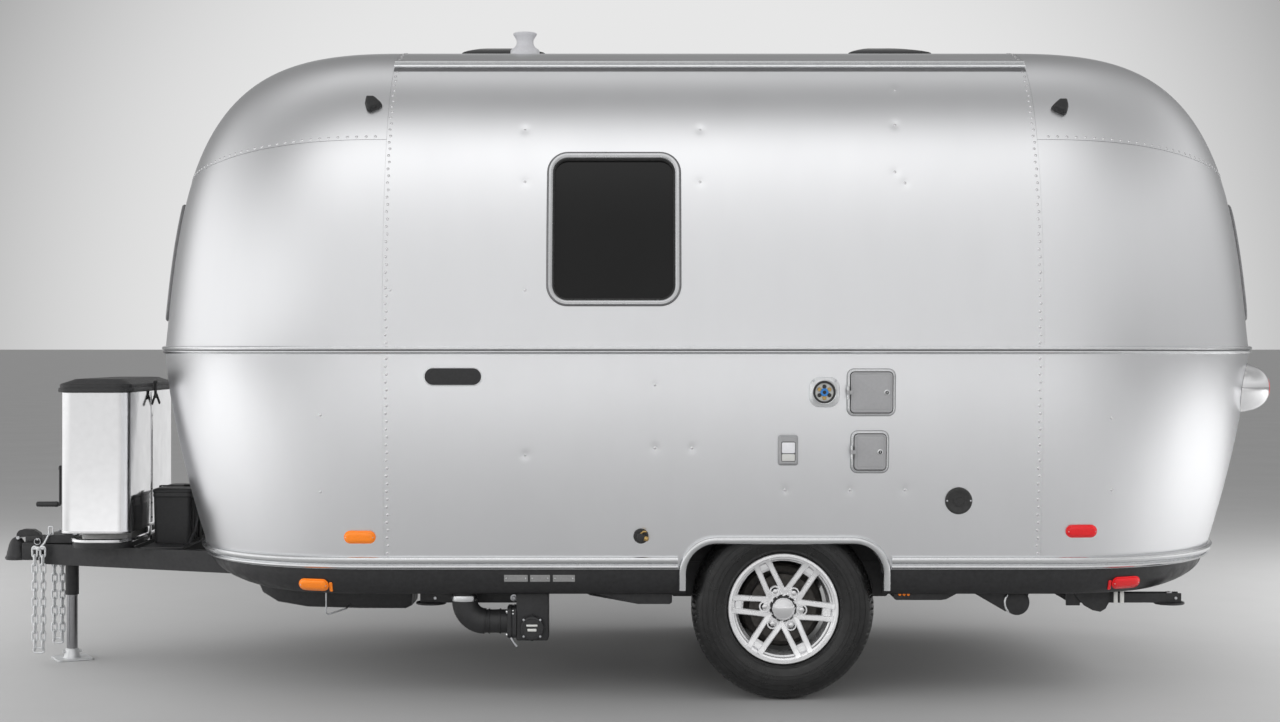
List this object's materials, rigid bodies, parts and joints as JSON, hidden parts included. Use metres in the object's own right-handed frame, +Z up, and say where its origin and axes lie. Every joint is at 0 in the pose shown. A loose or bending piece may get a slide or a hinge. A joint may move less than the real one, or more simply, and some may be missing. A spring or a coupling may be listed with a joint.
{
  "type": "travel caravan",
  "caption": "Rounded riveted aluminium travel caravan on a single axle, with a drawbar, jack, gas locker, entry door and roof vents.",
  "frame": {"origin": "on the ground under the middle of the overall box", "axes": "-X towards the tow hitch, +X to the rear, +Y to the entry door side, +Z up"},
  "size_m": [5.2178, 2.358, 2.6182],
  "materials": {
    "shell_skin": "satin clear-coated sheet with rivets",
    "trim_metal": "satin anodised",
    "polished_cover": "polished",
    "floor_board": "painted plywood",
    "black_plastic": "matte",
    "black_frame": "semi-gloss black paint",
    "dark_glass": "dark tinted",
    "smoked_lid": "smoked",
    "amber_lens": "clear",
    "red_lens": "clear",
    "bottle_metal": "satin",
    "zinc_steel": "zinc plated",
    "alloy_wheel": "machined and painted",
    "cast_drum": "black",
    "tyre_rubber": "matte"
  },
  "bodies": {
    "caravan": {"roof_panel": "shell_skin", "side_upper_left": "shell_skin", "side_upper_right": "shell_skin", "side_lower_left": "shell_skin", "side_lower_right": "shell_skin", "end_front_lower": "shell_skin", "end_front_middle": "shell_skin", "end_front_dome": "shell_skin", "end_rear_lower": "shell_skin", "end_rear_middle": "shell_skin", "end_rear_dome": "shell_skin", "floor_slab": "floor_board", "wheel_housings": "black_plastic", "skirt": "black_frame", "belt_rail": "trim_metal", "rub_rail": "trim_metal", "wall_trims": "trim_metal", "window_frames": "trim_metal", "window_glass": "dark_glass", "hatch_frames": "trim_metal", "side_fittings": "trim_metal", "blank_plates": "black_plastic", "lamps_amber": "amber_lens", "lamps_red": "red_lens", "clearance_lamps": "black_plastic", "tail_pods": "trim_metal", "roof_fittings": "black_plastic", "chassis_rails": "black_frame", "crossmembers": "black_frame", "tongue_beams": "black_frame", "coupler": "black_frame", "jack_tube": "black_frame", "gas_cover": "polished_cover", "gas_bottles": "bottle_metal", "battery_box": "black_plastic", "safety_chains": "zinc_steel", "axle": "black_frame", "drain_pipe": "black_plastic", "step_guides": "black_frame", "door_hinges": "trim_metal"},
    "wheel_left_body": {"tyre_left": "tyre_rubber", "wheel_left": "alloy_wheel", "drum_left": "cast_drum"},
    "wheel_right_body": {"tyre_right": "tyre_rubber", "wheel_right": "alloy_wheel", "drum_right": "cast_drum"},
    "door_body": {"door": "shell_skin", "door_glass": "dark_glass", "door_hardware": "trim_metal"},
    "hatch_upper_body": {"hatch_upper": "trim_metal"},
    "hatch_lower_body": {"hatch_lower": "trim_metal"},
    "gas_lid_body": {"gas_lid": "black_frame"},
    "jack_leg_body": {"jack_leg": "zinc_steel"},
    "vent_front_body": {"vent_lid_front": "smoked_lid"},
    "vent_rear_body": {"vent_lid_rear": "smoked_lid"},
    "stabilizer_front_body": {"stabilizer_front": "black_frame"},
    "stabilizer_rear_body": {"stabilizer_rear": "black_frame"},
    "step_body": {"entry_step": "black_frame"}
  },
  "joints": [
    {"name": "wheel_left_spin", "type": "hinge", "parent": "caravan", "child": "wheel_left_body", "pos_m": [0.632, -0.932, 0.3445], "axis": [0, 1, 0], "continuous": true},
    {"name": "wheel_right_spin", "type": "hinge", "parent": "caravan", "child": "wheel_right_body", "pos_m": [0.632, 0.932, 0.3445], "axis": [0, 1, 0], "continuous": true},
    {"name": "door_swing", "type": "hinge", "parent": "caravan", "child": "door_body", "pos_m": [-0.56, 1.168, 1.32], "axis": [0, 0, 1], "range_deg": [0, 160]},
    {"name": "hatch_upper_swing", "type": "hinge", "parent": "caravan", "child": "hatch_upper_body", "pos_m": [0.858, -1.17399, 1.16], "axis": [0, 0, -1], "range_deg": [0, 110]},
    {"name": "hatch_lower_swing", "type": "hinge", "parent": "caravan", "child": "hatch_lower_body", "pos_m": [0.873, -1.15924, 0.94], "axis": [0, 0, -1], "range_deg": [0, 110]},
    {"name": "gas_lid_lift", "type": "slide", "parent": "caravan", "child": "gas_lid_body", "axis": [0, 0, 1], "range_m": [0, 0.25]},
    {"name": "jack_leg_slide", "type": "slide", "parent": "caravan", "child": "jack_leg_body", "axis": [0, 0, 1], "range_m": [0, 0.22]},
    {"name": "vent_front_lift", "type": "hinge", "parent": "caravan", "child": "vent_front_body", "pos_m": [-0.67, 0, 2.5443], "axis": [0, -1, 0], "range_deg": [0, 65]},
    {"name": "vent_rear_lift", "type": "hinge", "parent": "caravan", "child": "vent_rear_body", "pos_m": [0.948, 0, 2.5443], "axis": [0, -1, 0], "range_deg": [0, 65]},
    {"name": "stabilizer_front_drop", "type": "hinge", "parent": "caravan", "child": "stabilizer_front_body", "pos_m": [-0.33, 0, 0.365], "axis": [0, -1, 0], "range_deg": [0, 44]},
    {"name": "stabilizer_rear_drop", "type": "hinge", "parent": "caravan", "child": "stabilizer_rear_body", "pos_m": [1.75, 0, 0.365], "axis": [0, 1, 0], "range_deg": [0, 44]},
    {"name": "step_slide", "type": "slide", "parent": "caravan", "child": "step_body", "axis": [0, 1, 0], "range_m": [0, 0.2]}
  ]
}
